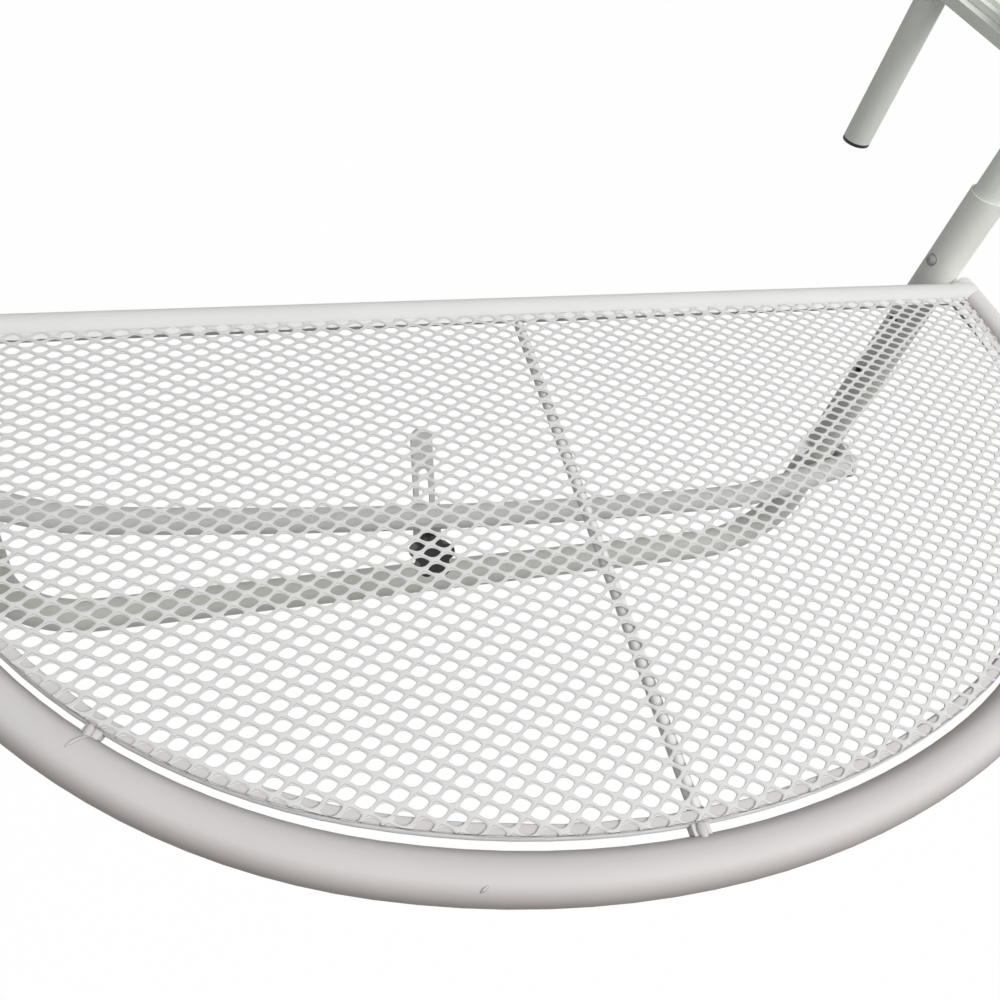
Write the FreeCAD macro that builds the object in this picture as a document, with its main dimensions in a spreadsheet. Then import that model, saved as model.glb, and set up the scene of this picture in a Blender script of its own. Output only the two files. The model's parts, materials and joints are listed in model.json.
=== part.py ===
import FreeCAD, Part

import math
import os

import Sketcher
from FreeCAD import Placement, Rotation, Vector

# Half-round table that hangs on a balcony railing.
# Millimetres. X runs along the railing, +Y points out over the railing and +Z up.
# The origin is midway between the two hooks, in the middle of their gap, at the height
# of the seats that lie on the handrail.

# Driving dimensions
SIZES = {
    "top_half": 300.0,          # half of the overall width of the top
    "rim_straight": 9.4,        # straight end of the rim beside the back tube
    "rim_side_bend": 267.0,     # outside radius of the rim's side bends
    "rim_front_bend": 371.0,    # outside radius of the flatter bend across the front
    "rim_od": 17.0,
    "rim_wall": 1.2,
    "end_disc": 1.2,            # disc that closes each end of the rim tube, against the leg
    "back_od": 13.0,            # thinner tube along the railing side
    "back_wall": 1.2,
    "back_below_mesh": 2.4,     # axis of the back tube below the middle of the mesh
    "back_forward": 1.0,        # axis of the back tube in front of the rim's end bend line
    "seat_above_mesh": 119.0,   # hook seats above the middle of the mesh sheet
    "mesh_above_rim": 6.0,      # middle of the mesh above the axis of the rim tube
    "mesh_sheet": 1.6,          # thickness of the expanded sheet
    "mesh_length": 33.4,        # long way of one mesh diamond
    "mesh_height": 22.7,        # short way of one mesh diamond
    "mesh_strand": 4.6,         # width of a strand
    "mesh_flat": 6.0,           # flat at the blunt corners of an opening
    "mesh_turn": 1.2,           # the pattern of the sheet lies askew by this angle
    "mesh_border": 5.0,         # plain band round the edge of the sheet
    "ring_rod": 5.0,            # rod under the edge and the middle of the mesh
    "ring_gap": 3.5,            # gap between the ring and the rim tube before the spread
    "ring_spread": 2.7,         # the ring's side bends lie further out than those of the rim
    "rod_offset": 2.8,          # rear end of the centre rod beside the middle of the table
    "rod_turn": 1.7,            # the centre rod lies askew by this angle
    "tab_angle": 41.5,          # side tabs, turned from the front about the side bends
    "front_tab_angle": 1.0,     # front tab, turned about the front bend
    "rim_tab_width": 6.5,
    "rim_tab_plate": 4.0,
    "leg_od": 22.0,
    "leg_wall": 1.4,
    "leg_inset": 17.6,          # leg axis inside the widest point of the rim
    "leg_top": 53.0,            # open top of a leg above the mesh
    "leg_drop": 280.4,          # axis of the lower bar below the mesh
    "leg_bend": 55.0,           # bend radius of the lower corners
    "brace_od": 16.0,
    "brace_wall": 1.2,
    "brace_high_hole": 109.0,   # hole for the brace in the left leg, below the mesh
    "brace_low_hole": 165.0,    # hole in both legs, below the mesh
    "brace_drop": 42.8,         # middle of the bow below the line that joins its ends
    "brace_arc": 2350.0,        # the bow's long middle part is bent to this radius
    "brace_rise": 26.0,         # slope of the bow's straight ends
    "brace_bend": 90.0,         # bend radius of the bow's corners
    "lug_width": 18.0,
    "lug_plate": 3.0,
    "bolt_d": 6.0,              # brace bolts
    "bolt_head_width": 10.0,    # between the flats
    "bolt_head": 3.0,
    "bolt_reach": 8.0,          # end of a brace bolt inside its nut
    "nut_length": 7.0,          # hexagon of a dome nut
    "dome_radius": 4.4,
    "washer_od": 12.0,
    "washer": 1.2,
    "strap_x": -17.0,           # spacer strap from the middle of the table
    "strap_angle": 46.0,        # slope of the strap above the horizontal
    "strap_width": 14.0,
    "strap_plate": 3.0,
    "strap_length": 95.5,
    "strap_slot": 7.2,          # width of the slot
    "strap_slot_length": 62.0,
    "strap_tail": 14.0,         # strap end below the clamping bolt
    "clamp_drop": 24.5,         # clamping bolt below the bow, along the strap
    "tab_width": 18.0,
    "tab_plate": 3.0,
    "tab_bite": 1.5,            # depth of the saddle in the tab's edge
    "clamp_d": 6.0,             # bolt of the strap knob
    "clamp_head": 4.0,
    "clamp_head_d": 13.0,
    "clamp_washer_od": 16.0,
    "knob_d": 28.0,             # black star knob of the strap
    "knob_height": 14.0,
    "knob_lobe": 5.2,           # radius of a lobe
    "knob_lobes": 5,            # lobes on every knob
    "lobe_proud": 3.9,          # lobes stand out of a knob's core
    "knob_crown": 3.5,          # solid top of every knob above its bore
    "thread_room": 0.7,         # between the end of a bolt and the end of its bore in a knob
    "rail_gap": 98.5,           # clear gap of the hooks at their narrowest
    "widen": 40.0,              # how far a hook can be drawn out
    "upright_od": 19.0,
    "upright_wall": 1.2,
    "upright_tail": 20.0,       # lower end of an upright below the mesh
    "button_height": 7.5,       # snap button above the mesh
    "button_holes": 3,          # button holes in a leg
    "button_pitch": 47.0,       # from each button hole in a leg to the next one below
    "button_d": 6.5,
    "button_proud": 2.6,        # button stands out of the leg
    "button_bevel": 1.6,        # bevel round the top of a button
    "clip_strip": 0.8,
    "clip_width": 8.0,
    "clip_length": 34.0,
    "clip_room": 1.2,           # between the clip and the upright's bore
    "slider_width": 30.0,
    "slider_height": 6.0,
    "slider_front": 3.0,        # slider end behind the leg
    "slider_rear": 6.0,         # slider end beyond the drop leg
    "weld_step": 0.5,           # step under the slider's end that the drop leg is welded to
    "weld_room": 2.0,           # from the step's edge to the drop leg
    "drop_od": 18.0,
    "drop_wall": 1.2,
    "drop_length": 102.3,       # drop leg below the seat on the handrail
    "cap_lip": 2.0,             # visible part of a black cap
    "cap_plug": 12.0,           # part of a cap inside its tube
    "cap_grip": 0.05,           # cap plug smaller than its bore
    "arm_width": 16.0,
    "arm_height": 3.5,
    "arm_past_slot": 12.0,
    "arm_slot": 6.6,
    "stud_d": 6.0,
    "stud_from_leg": 24.0,      # clamping stud behind the slider's front end
    "stud_depth": 5.0,          # stud inside the slider
    "hook_knob_d": 28.0,
    "hook_knob_height": 13.0,
    "hook_knob_lobe": 5.5,
    "hook_washer_od": 16.0,
    "running": 0.05,            # radial running clearance
    "weld_gap": 0.1,            # between pieces that are welded or bolted together
    "slip": 0.1,                # between flat faces that slide
    "loose": 0.3,               # between curved faces of moving pieces
}

doc = FreeCAD.newDocument("railing_table")
sheet = doc.addObject("Spreadsheet::Sheet", "Sizes")
for row, (alias, value) in enumerate(SIZES.items(), start=1):
    sheet.set(f"A{row}", alias)
    sheet.set(f"B{row}", str(value))
    sheet.setAlias(f"B{row}", alias)
doc.recompute()

# Places that follow from the driving dimensions
MESH_Z = "(-Sizes.seat_above_mesh)"
RIM_Z = f"({MESH_Z} - Sizes.mesh_above_rim)"
RING_Z = f"({MESH_Z} - Sizes.mesh_sheet / 2 - Sizes.weld_gap - Sizes.ring_rod / 2)"
LEG_X = "(Sizes.top_half - Sizes.leg_inset)"
LEG_Y = "(-Sizes.rail_gap / 2 - Sizes.upright_od / 2)"
TOP_Y = f"({LEG_Y} - Sizes.leg_od / 2 - Sizes.weld_gap - Sizes.rim_od / 2)"
RIM_X = "(Sizes.top_half - Sizes.rim_od / 2)"
RIM_END_Y = f"({TOP_Y} + Sizes.rim_od / 2 - Sizes.end_disc - Sizes.weld_gap)"
BACK_Y = f"({TOP_Y} - Sizes.back_forward)"
BACK_Z = f"({MESH_Z} - Sizes.back_below_mesh)"
RING_INSET = "(Sizes.rim_od + Sizes.ring_gap + Sizes.ring_rod / 2)"
SIDE_X = "(Sizes.top_half - Sizes.rim_side_bend)"
BEND_STEP = "(Sizes.rim_front_bend - Sizes.rim_side_bend)"
FRONT_ANGLE = f"asin({SIDE_X} / {BEND_STEP})"
FRONT_SHIFT = f"({BEND_STEP} * cos({FRONT_ANGLE}))"
RIM_PLAN = (SIDE_X, FRONT_ANGLE, FRONT_SHIFT)
RING_SIDE_X = f"({SIDE_X} + Sizes.ring_spread)"
RING_ANGLE = f"asin({RING_SIDE_X} / {BEND_STEP})"
RING_SHIFT = f"({BEND_STEP} * cos({RING_ANGLE}))"
RING_PLAN = (RING_SIDE_X, RING_ANGLE, RING_SHIFT)
RING_DEPTH = f"(Sizes.rim_straight + Sizes.rim_front_bend - {RING_SHIFT} - {RING_INSET})"
LEG_TOP_Z = f"({MESH_Z} + Sizes.leg_top)"
BAR_Z = f"({MESH_Z} - Sizes.leg_drop)"
HIGH_HOLE_Z = f"({MESH_Z} - Sizes.brace_high_hole)"
LOW_HOLE_Z = f"({MESH_Z} - Sizes.brace_low_hole)"
BUTTON_Z = f"({MESH_Z} + Sizes.button_height)"
BRACE_Y = f"({LEG_Y} - Sizes.leg_od / 2 - Sizes.loose - Sizes.brace_od / 2)"
BRACE_END_X = f"({LEG_X} + Sizes.leg_od / 2)"
BRACE_MID_Z = f"(({HIGH_HOLE_Z} + {LOW_HOLE_Z}) / 2)"
BRACE_TILT = f"atan((Sizes.brace_low_hole - Sizes.brace_high_hole) / 2 / {BRACE_END_X})"
BRACE_HALF = f"({BRACE_END_X} / cos({BRACE_TILT}))"
BRACE_TOP = "(Sizes.brace_arc - Sizes.brace_drop)"
BRACE_REACH = f"({BRACE_HALF} * sin(Sizes.brace_rise) + {BRACE_TOP} * cos(Sizes.brace_rise))"
BRACE_TURN = f"acos(({BRACE_REACH} - Sizes.brace_bend) / (Sizes.brace_arc - Sizes.brace_bend))"
BRACE_MEET = f"(Sizes.brace_rise * 1 deg - {BRACE_TURN})"
DROP_Y = "(Sizes.rail_gap / 2 + Sizes.drop_od / 2)"
SLIDER_FRONT_Y = f"({LEG_Y} + Sizes.leg_od / 2 + Sizes.slider_front)"
SLIDER_REAR_Y = f"({DROP_Y} + Sizes.drop_od / 2 + Sizes.slider_rear)"
STUD_Y = f"({SLIDER_FRONT_Y} + Sizes.stud_from_leg)"
ARM_Z = "(Sizes.slider_height + Sizes.slip)"
LEG_ID = "(Sizes.leg_od - 2 * Sizes.leg_wall)"
UPRIGHT_ID = "(Sizes.upright_od - 2 * Sizes.upright_wall)"

TURN = {
    "Z": Rotation(),
    "-Z": Rotation(Vector(1, 0, 0), 180),
    "X": Rotation(Vector(0, 1, 0), 90),
    "-X": Rotation(Vector(0, 1, 0), -90),
    "Y": Rotation(Vector(1, 0, 0), -90),
}
# A rotation keeps its axis only while its angle isn't zero, so a bound one starts with this.
ANGLE_BEFORE_BINDING = 45
SIDES = {"right": 1, "left": -1}
parts = []


def num(expression):
    """Value of an expression on the sheet."""
    return float(sheet.evalExpression(expression))


def bind(obj, **formulas):
    """Bind properties of an object to the sheet."""
    for name, formula in formulas.items():
        obj.setExpression(name, str(formula))
    return obj


def place(obj, at, turn=Rotation()):
    """Put an object at a place given by three formulas."""
    obj.Placement = Placement(Vector(), turn)
    for letter, formula in zip("xyz", at):
        obj.setExpression(f"Placement.Base.{letter}", str(formula))
    return obj


def turned(obj, at, axis, angle):
    """Put an object at a place, turned about an axis by a formula."""
    place(obj, at, Rotation(axis, ANGLE_BEFORE_BINDING))
    obj.setExpression("Placement.Rotation.Angle", angle)
    return obj


def cylinder(radius, height, at, axis="Z"):
    obj = doc.addObject("Part::Cylinder", "cylinder")
    bind(obj, Radius=radius, Height=height)
    return place(obj, at, TURN[axis])


def box(length, width, height, at):
    """Box whose lowest corner is at a place."""
    obj = doc.addObject("Part::Box", "box")
    bind(obj, Length=length, Width=width, Height=height)
    return place(obj, at)


def sphere(radius, at):
    obj = doc.addObject("Part::Sphere", "sphere")
    bind(obj, Radius=radius)
    return place(obj, at)


def torus(major, minor, sweep, at, turn=Rotation()):
    obj = doc.addObject("Part::Torus", "torus")
    bind(obj, Radius1=major, Radius2=minor, Angle3=sweep)
    return place(obj, at, turn)


def hexagon(width, height, at, axis="Z"):
    """Hexagonal prism; width is measured between its flats."""
    obj = doc.addObject("Part::Prism", "hexagon")
    obj.Polygon = 6
    bind(obj, Circumradius=f"{width} / 2 / cos(30)", Height=height)
    return place(obj, at, TURN[axis])


def fuse(shapes):
    obj = doc.addObject("Part::MultiFuse", "fuse")
    obj.Shapes = shapes
    return obj


def cut(base, tool):
    obj = doc.addObject("Part::Cut", "cut")
    obj.Base = base
    obj.Tool = tool
    return obj


def group(shapes):
    obj = doc.addObject("Part::Compound", "group")
    obj.Links = shapes
    return obj


def part(label, obj):
    """Name an object as a sub-part of the table."""
    obj.Label = label
    parts.append(obj)
    return obj


def body(label):
    obj = doc.addObject("PartDesign::Body", label + "_body")
    return part(label, obj)


def plane(owner, role):
    for feature in owner.Origin.OriginFeatures:
        if feature.Role == role:
            return feature
    raise ValueError(role)


def sketch(owner, role, lift="0"):
    """Empty sketch on one of a body's own origin planes, raised by a formula."""
    obj = owner.newObject("Sketcher::SketchObject", "sketch")
    obj.AttachmentSupport = [(plane(owner, role), "")]
    obj.MapMode = "FlatFace"
    obj.setExpression("AttachmentOffset.Base.z", lift)
    return obj


def circle(owner, radius, across="0", up="0"):
    """Circle in a sketch, with its radius and centre bound to the sheet."""
    shape = Part.Circle(Vector(num(across), num(up), 0), Vector(0, 0, 1), num(radius))
    index = owner.addGeometry(shape, False)
    dimensions = (
        (radius, Sketcher.Constraint("Radius", index, num(radius))),
        (across, Sketcher.Constraint("DistanceX", -1, 1, index, 3, num(across))),
        (up, Sketcher.Constraint("DistanceY", -1, 1, index, 3, num(up))),
    )
    for formula, constraint in dimensions:
        number = owner.addConstraint(constraint)
        owner.setExpression(f"Constraints[{number}]", formula)
    return index


def pad(owner, profile, length):
    obj = owner.newObject("PartDesign::Pad", "pad")
    obj.Profile = profile
    obj.setExpression("Length", length)
    owner.Tip = obj
    return obj


def bored(owner, profile, length):
    """Pocket that starts at the sketch and runs along its normal."""
    obj = owner.newObject("PartDesign::Pocket", "pocket")
    obj.Profile = profile
    obj.setExpression("Length", length)
    obj.Reversed = True
    owner.Tip = obj
    return obj


# Half-round top

def rim_curve(radius, inset, height, plan=RIM_PLAN):
    """Rod along the rim: straight ends, two side bends and a flatter front bend, all tangent.

    inset is the distance from the outermost line of the plan to the rod's axis.
    """
    side_x, front_angle, front_shift = plan
    bend_y = f"({TOP_Y} - Sizes.rim_straight)"
    upward = Vector(0, 0, 1)
    front_centre = (0, f"{bend_y} + {front_shift}", height)
    front = torus(f"Sizes.rim_front_bend - {inset}", radius, f"2 * {front_angle}", front_centre)
    pieces = [turned(front, front_centre, upward, f"270 deg - {front_angle}")]
    straight = f"{RIM_END_Y} - {bend_y}"
    for side in SIDES.values():
        centre = (f"{side} * {side_x}", bend_y, height)
        bend = torus(f"Sizes.rim_side_bend - {inset}", radius, f"90 deg - {front_angle}", centre)
        start = f"270 deg + {front_angle}" if side == 1 else "180 deg"
        pieces.append(turned(bend, centre, upward, start))
        end_at = (f"{side} * ({side_x} + Sizes.rim_side_bend - {inset})", bend_y, height)
        pieces.append(cylinder(radius, straight, end_at, "Y"))
    return fuse(pieces)


def back_solid(radius):
    """Rod along the railing side, from one end of the rim to the other."""
    return cylinder(radius, f"2 * {RIM_X}", (f"-{RIM_X}", BACK_Y, BACK_Z), "X")


def make_top():
    outside, inside = "Sizes.rim_od / 2", "(Sizes.rim_od / 2 - Sizes.rim_wall)"
    rim = rim_curve(outside, outside, RIM_Z)
    part("rim_tube", cut(rim, rim_curve(inside, outside, RIM_Z)))
    discs = []
    for side in SIDES.values():
        at = (f"{side} * {RIM_X}", f"{RIM_END_Y} + Sizes.weld_gap", RIM_Z)
        discs.append(cylinder(outside, "Sizes.end_disc", at, "Y"))
    part("rim_end_discs", group(discs))

    rim_room = rim_curve("Sizes.rim_od / 2 + Sizes.weld_gap", outside, RIM_Z)
    bore = back_solid("Sizes.back_od / 2 - Sizes.back_wall")
    part("back_tube", cut(back_solid("Sizes.back_od / 2"), fuse([bore, rim_room])))

    clear = "Sizes.back_od / 2 + Sizes.weld_gap"
    ring = rim_curve("Sizes.ring_rod / 2", RING_INSET, RING_Z, RING_PLAN)
    rear_at = ("-Sizes.top_half", BACK_Y, f"{RING_Z} - Sizes.rim_od")
    rear = box("2 * Sizes.top_half", "2 * Sizes.rim_od", "2 * Sizes.rim_od", rear_at)
    part("mesh_ring", cut(ring, fuse([back_solid(clear), rear])))

    run = f"({RING_DEPTH} - Sizes.ring_rod / 2 - Sizes.weld_gap)"
    rod = group([cylinder("Sizes.ring_rod / 2", run, (0, f"-{run}", 0), "Y")])
    turned(rod, ("Sizes.rod_offset", TOP_Y, RING_Z), Vector(0, 0, -1), "Sizes.rod_turn")
    ring_room = rim_curve("Sizes.ring_rod / 2 + Sizes.weld_gap", RING_INSET, RING_Z, RING_PLAN)
    part("centre_rod", cut(rod, fuse([back_solid(clear), ring_room])))
    make_rim_tabs()


def make_rim_tabs():
    """Small bridges between the ring and the rim, one in front and one on each side bend."""
    bend_y = f"({TOP_Y} - Sizes.rim_straight)"
    front_inset = f"({RING_INSET} - {FRONT_SHIFT} + {RING_SHIFT})"
    side_inset = f"({RING_INSET} - Sizes.ring_spread * sin(Sizes.tab_angle))"
    front_turn = "-Sizes.front_tab_angle"
    spots = [("0", f"{bend_y} + {FRONT_SHIFT}", "Sizes.rim_front_bend", front_turn, front_inset)]
    for side in SIDES.values():
        turn = f"{side} * Sizes.tab_angle"
        spots.append((f"{side} * {SIDE_X}", bend_y, "Sizes.rim_side_bend", turn, side_inset))
    tabs = []
    for x, y, bend, turn, inset in spots:
        low = (f"{bend} - {inset}", "-Sizes.rim_tab_width / 2", "-Sizes.rim_tab_plate / 2")
        reach = f"{inset} - Sizes.rim_od / 2"
        bridge = group([box(reach, "Sizes.rim_tab_width", "Sizes.rim_tab_plate", low)])
        tabs.append(turned(bridge, (x, y, RING_Z), Vector(0, 0, 1), f"270 + {turn}"))
    ring_room = rim_curve("Sizes.ring_rod / 2 + Sizes.weld_gap", RING_INSET, RING_Z, RING_PLAN)
    rim_room = rim_curve("Sizes.rim_od / 2 + Sizes.weld_gap", "Sizes.rim_od / 2", RIM_Z)
    part("rim_tabs", cut(group(tabs), fuse([ring_room, rim_room])))


def plan_face(inset, back):
    """Face inside a line parallel to the ring, cut off in front of the rim's ends."""
    straight, shift, angle = num("Sizes.rim_straight"), num(RING_SHIFT), math.radians(num(RING_ANGLE))
    side_x, side_bend = num(RING_SIDE_X), num("Sizes.rim_side_bend") - inset
    half = side_x + side_bend
    front_bend = num("Sizes.rim_front_bend") - inset

    def on_arc(across, along, radius, turn):
        return Vector(across + radius * math.sin(turn), along - radius * math.cos(turn), 0)

    middle = (angle + math.pi / 2) / 2
    corner, start = Vector(half, straight, 0), Vector(half, -straight, 0)
    bend, end = on_arc(side_x, -straight, side_bend, middle), on_arc(side_x, -straight, side_bend, angle)
    front = on_arc(0, shift - straight, front_bend, 0)
    mirrored = [Vector(-point.x, point.y, 0) for point in (corner, start, bend, end)]
    left_corner, left_start, left_bend, left_end = mirrored
    edges = [
        Part.makeLine(corner, start),
        Part.Arc(start, bend, end).toShape(),
        Part.Arc(end, front, left_end).toShape(),
        Part.Arc(left_end, left_bend, left_start).toShape(),
        Part.makeLine(left_start, left_corner),
        Part.makeLine(left_corner, corner),
    ]
    rear = Part.makeBox(4 * half, 2 * half, 2, Vector(-2 * half, -back, -1))
    return Part.Face(Part.Wire(edges)).cut(rear).Faces[0]


def opening_wire(across, along):
    """Six-sided opening of the mesh, long way along X."""
    slope = math.atan2(num("Sizes.mesh_height"), num("Sizes.mesh_length"))
    half_long = num("Sizes.mesh_length") / 2 - num("Sizes.mesh_strand") / 2 / math.sin(slope)
    half_short = num("Sizes.mesh_height") / 2 - num("Sizes.mesh_strand") / 2 / math.cos(slope)
    flat = num("Sizes.mesh_flat") / 2
    blunt = half_short * (1 - flat / half_long)
    upper = [(half_long, 0), (flat, blunt), (-flat, blunt)]
    lower = [(-x, -y) for x, y in upper]
    points = [Vector(across + x, along + y, 0) for x, y in upper + lower]
    return Part.makePolygon(points + points[:1])


def make_mesh():
    """Expanded sheet: one face with its openings, thickened."""
    drop = num("Sizes.back_below_mesh") - num("Sizes.mesh_sheet") / 2
    back_reach = math.sqrt((num("Sizes.back_od") / 2) ** 2 - drop ** 2)
    back = num("Sizes.back_forward") + back_reach + num("Sizes.weld_gap")
    inset, border = num(RING_INSET) - num("Sizes.ring_rod") / 2, num("Sizes.mesh_border")
    outline, field = plan_face(inset, back), plan_face(inset + border, back + border)
    bounds = field.BoundBox
    pitch_x, pitch_y = num("Sizes.mesh_length") / 2, num("Sizes.mesh_height") / 2
    columns = math.ceil(bounds.XMax / pitch_x) + 1
    lines = math.ceil(-bounds.YMin / pitch_y) + 1
    holes = []
    for column in range(-columns, columns + 1):
        for line in range(-1, lines + 1):
            if (column + line) % 2:
                continue
            opening = Part.Face(opening_wire(column * pitch_x, -line * pitch_y))
            opening.rotate(Vector(), Vector(0, 0, 1), num("Sizes.mesh_turn"))
            inside = opening.common(field).Faces
            holes.extend(face.OuterWire for face in inside if face.Area > border ** 2)
    print(f"mesh openings: {len(holes)}")
    face = Part.Face([outline.OuterWire] + holes)
    face.validate()
    obj = doc.addObject("Part::Feature", "mesh")
    obj.Shape = face.extrude(Vector(0, 0, num("Sizes.mesh_sheet")))
    place(obj, (0, TOP_Y, f"{MESH_Z} - Sizes.mesh_sheet / 2"))
    part("mesh_panel", obj)


# U frame

def u_solid(radius, top):
    """Two legs, two bends and the lower bar, as solid rods."""
    rise = f"{top} - {BAR_Z} - Sizes.leg_bend"
    bend_z = f"{BAR_Z} + Sizes.leg_bend"
    bend_x = f"({LEG_X} - Sizes.leg_bend)"
    upright = Rotation(Vector(1, 0, 0), 90)
    pieces = [cylinder(radius, f"2 * {bend_x}", (f"-{bend_x}", LEG_Y, BAR_Z), "X")]
    for side in SIDES.values():
        start = Rotation(Vector(0, 0, 1), -90 if side == 1 else 180)
        bend_at = (f"{side} * {bend_x}", LEG_Y, bend_z)
        pieces.append(cylinder(radius, rise, (f"{side} * {LEG_X}", LEG_Y, bend_z)))
        pieces.append(torus("Sizes.leg_bend", radius, 90, bend_at, upright * start))
    return fuse(pieces)


def make_u_frame():
    low, high = "Sizes.brace_low_hole", "Sizes.brace_high_hole"
    cross_drops = {"right": [low], "left": [high, low]}
    holes = []
    for name, side in SIDES.items():
        for step in range(round(num("Sizes.button_holes"))):
            radius = "Sizes.button_d / 2 + Sizes.loose"
            at = (f"{side} * {LEG_X}", LEG_Y, f"{BUTTON_Z} - {step} * Sizes.button_pitch")
            holes.append(cylinder(radius, "Sizes.leg_od", at, "-X" if side == 1 else "X"))
        for drop in cross_drops[name]:
            at = (f"{side} * {LEG_X} - Sizes.leg_od", LEG_Y, f"{MESH_Z} - {drop}")
            holes.append(cylinder("Sizes.bolt_d / 2 + Sizes.loose", "2 * Sizes.leg_od", at, "X"))
    bore = u_solid("Sizes.leg_od / 2 - Sizes.leg_wall", f"({LEG_TOP_Z} + Sizes.leg_wall)")
    part("u_frame", cut(u_solid("Sizes.leg_od / 2", LEG_TOP_Z), fuse([bore] + holes)))


# Brace bow and its spacer strap

def bow_half(radius):
    """Right half of the bow about its own middle, as solid rods: long arc, bend and straight end."""
    centre = (0, 0, "Sizes.brace_arc - Sizes.brace_drop")
    from_below = Rotation(Vector(1, 0, 0), 90) * Rotation(Vector(0, 0, 1), -90)
    arc = torus("Sizes.brace_arc", radius, BRACE_MEET, centre, from_below)
    bend_z = "(Sizes.brace_bend - Sizes.brace_arc)"
    bend = torus("Sizes.brace_bend", radius, BRACE_TURN, (0, 0, bend_z), from_below)
    meet_x = f"(Sizes.brace_arc - Sizes.brace_bend) * sin({BRACE_MEET})"
    tangent_x = f"({meet_x} + Sizes.brace_bend * sin(Sizes.brace_rise))"
    run = f"({BRACE_HALF} - {tangent_x}) / cos(Sizes.brace_rise) + Sizes.brace_od"
    end_x = f"Sizes.brace_bend * sin({BRACE_TURN})"
    end_at = (end_x, 0, f"{bend_z} - Sizes.brace_bend * cos({BRACE_TURN})")
    end = cylinder(radius, run, end_at)
    turned(end, end_at, Vector(0, 1, 0), f"90 deg - {BRACE_TURN}")
    tip = turned(fuse([bend, end]), centre, Vector(0, -1, 0), BRACE_MEET)
    return [arc, tip]


def bow_solid(radius):
    half = fuse(bow_half(radius))
    mirrored = doc.addObject("Part::Mirroring", "mirrored")
    mirrored.Source = half
    mirrored.Normal = Vector(1, 0, 0)
    return fuse([half, mirrored])


def tilt(obj):
    """Turn the bow so that its ends reach the two cross holes."""
    return turned(obj, (0, BRACE_Y, BRACE_MID_Z), Vector(0, 1, 0), BRACE_TILT)


def make_brace():
    bow = cut(bow_solid("Sizes.brace_od / 2"), bow_solid("Sizes.brace_od / 2 - Sizes.brace_wall"))
    size = "4 * Sizes.brace_od"
    trims = []
    for low in (BRACE_END_X, f"-{BRACE_END_X} - {size}"):
        trims.append(box(size, size, size, (low, f"{BRACE_Y} - {size} / 2", f"{BRACE_MID_Z} - {size}")))
        bind(trims[-1], Height=f"2 * {size}")
    part("brace_bow", cut(tilt(bow), fuse(trims)))
    lugs = {"right": LOW_HOLE_Z, "left": HIGH_HOLE_Z}
    for name, side in SIDES.items():
        inner = f"({BRACE_END_X} + Sizes.weld_gap + Sizes.running)"
        low = f"{side} * {inner}" if side == 1 else f"-{inner} - Sizes.lug_plate"
        span = f"({LEG_Y} - {BRACE_Y})"
        flat_at = (low, BRACE_Y, f"{lugs[name]} - Sizes.lug_width / 2")
        flat = box("Sizes.lug_plate", span, "Sizes.lug_width", flat_at)
        rounds = []
        for y in (BRACE_Y, LEG_Y):
            rounds.append(cylinder("Sizes.lug_width / 2", "Sizes.lug_plate", (low, y, lugs[name]), "X"))
        hole_at = (f"{low} - Sizes.lug_plate", LEG_Y, lugs[name])
        hole = cylinder("Sizes.bolt_d / 2 + Sizes.loose", "3 * Sizes.lug_plate", hole_at, "X")
        part(f"brace_lug_{name}", cut(fuse([flat] + rounds), hole))


def bolt_seats():
    """Side, height and thickness under the outer washer of each brace bolt."""
    lug = "(Sizes.weld_gap + Sizes.running + Sizes.lug_plate)"
    return ((1, LOW_HOLE_Z, lug), (-1, HIGH_HOLE_Z, lug), (-1, LOW_HOLE_Z, "0"))


def make_brace_bolts():
    """Bolts from the inner side of the legs, with dome nuts on the outer side."""
    bolts, nuts, washers = [], [], []
    face = f"({LEG_X} + Sizes.leg_od / 2)"
    for side, height, stack in bolt_seats():
        inward = "-X" if side == 1 else "X"
        outward = "X" if side == 1 else "-X"
        outer = f"({face} + {stack} + Sizes.weld_gap)"
        nut_seat = f"({outer} + Sizes.washer + Sizes.weld_gap)"
        inner = f"({LEG_X} - Sizes.leg_od / 2 - Sizes.weld_gap)"
        seat = f"({inner} - Sizes.washer - Sizes.weld_gap)"
        at = (f"{side} * {seat}", LEG_Y, height)
        head = hexagon("Sizes.bolt_head_width", "Sizes.bolt_head", at, inward)
        shank = f"{nut_seat} - {seat} + Sizes.bolt_reach"
        bolts.append(fuse([head, cylinder("Sizes.bolt_d / 2", shank, at, outward)]))
        nut_at = (f"{side} * {nut_seat}", LEG_Y, height)
        grip = hexagon("Sizes.bolt_head_width", "Sizes.nut_length", nut_at, outward)
        dome = sphere("Sizes.dome_radius", (f"{side} * ({nut_seat} + Sizes.nut_length)", LEG_Y, height))
        thread = "Sizes.bolt_d / 2 + Sizes.running"
        hollow = cylinder(thread, "Sizes.bolt_reach + Sizes.loose", nut_at, outward)
        nuts.append(cut(fuse([grip, dome]), hollow))
        for place_x, direction in ((outer, outward), (inner, inward)):
            spot = (f"{side} * {place_x}", LEG_Y, height)
            ring = cylinder("Sizes.washer_od / 2", "Sizes.washer", spot, direction)
            eye = cylinder("Sizes.bolt_d / 2 + Sizes.loose", "Sizes.washer", spot, direction)
            washers.append(cut(ring, eye))
    part("brace_bolts", group(bolts))
    part("brace_nuts", group(nuts))
    part("brace_washers", group(washers))


# The strap, its tab, bolt, washer and knob share a slope: local Y runs up the strap and
# local Z out of its face. The local origin is on the bolt, in the middle of the strap.
TAB_FACE = "(Sizes.brace_od / 2 - Sizes.tab_bite + Sizes.tab_plate)"
STRAP_OFFSET = f"({TAB_FACE} + Sizes.slip + Sizes.strap_plate / 2)"


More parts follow.
